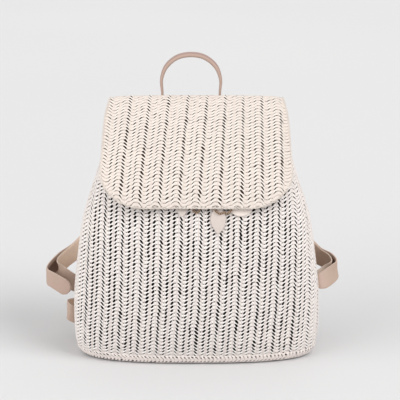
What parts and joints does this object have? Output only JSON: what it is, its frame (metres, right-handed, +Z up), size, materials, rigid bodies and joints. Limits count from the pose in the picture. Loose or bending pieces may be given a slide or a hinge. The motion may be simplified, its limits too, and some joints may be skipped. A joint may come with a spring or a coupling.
{
  "type": "woven straw backpack",
  "caption": "Small woven straw backpack with a fold-over flap, a flat leather carry loop, leather shoulder straps and drawcord ends with leather tabs.",
  "frame": {"origin": "centre of the flat underside of the base, on the surface it stands on", "axes": "+Z up, the front of the bag and the flap's edge face -Y, +X to the viewer's right when looking at the front"},
  "size_m": [0.3446, 0.146, 0.3345],
  "materials": {
    "straw": "matt woven paper straw",
    "rose_leather": "smooth satin, rose tan",
    "pale_leather": "smooth satin, pale beige",
    "cord": "matt braided cord"
  },
  "bodies": {
    "root": {"straw_base": "straw", "base_band": "straw", "straw_front": "straw", "straw_back": "straw", "straw_flap": "straw", "carry_loop": "rose_leather", "shoulder_strap_left": "rose_leather", "strap_tail_left": "rose_leather", "strap_keeper_left": "rose_leather", "shoulder_strap_right": "rose_leather", "strap_tail_right": "rose_leather", "strap_keeper_right": "rose_leather", "leaf_tab_right": "pale_leather", "leaf_tab_left": "pale_leather", "drawcord_right": "cord", "drawcord_left": "cord"}
  },
  "joints": []
}
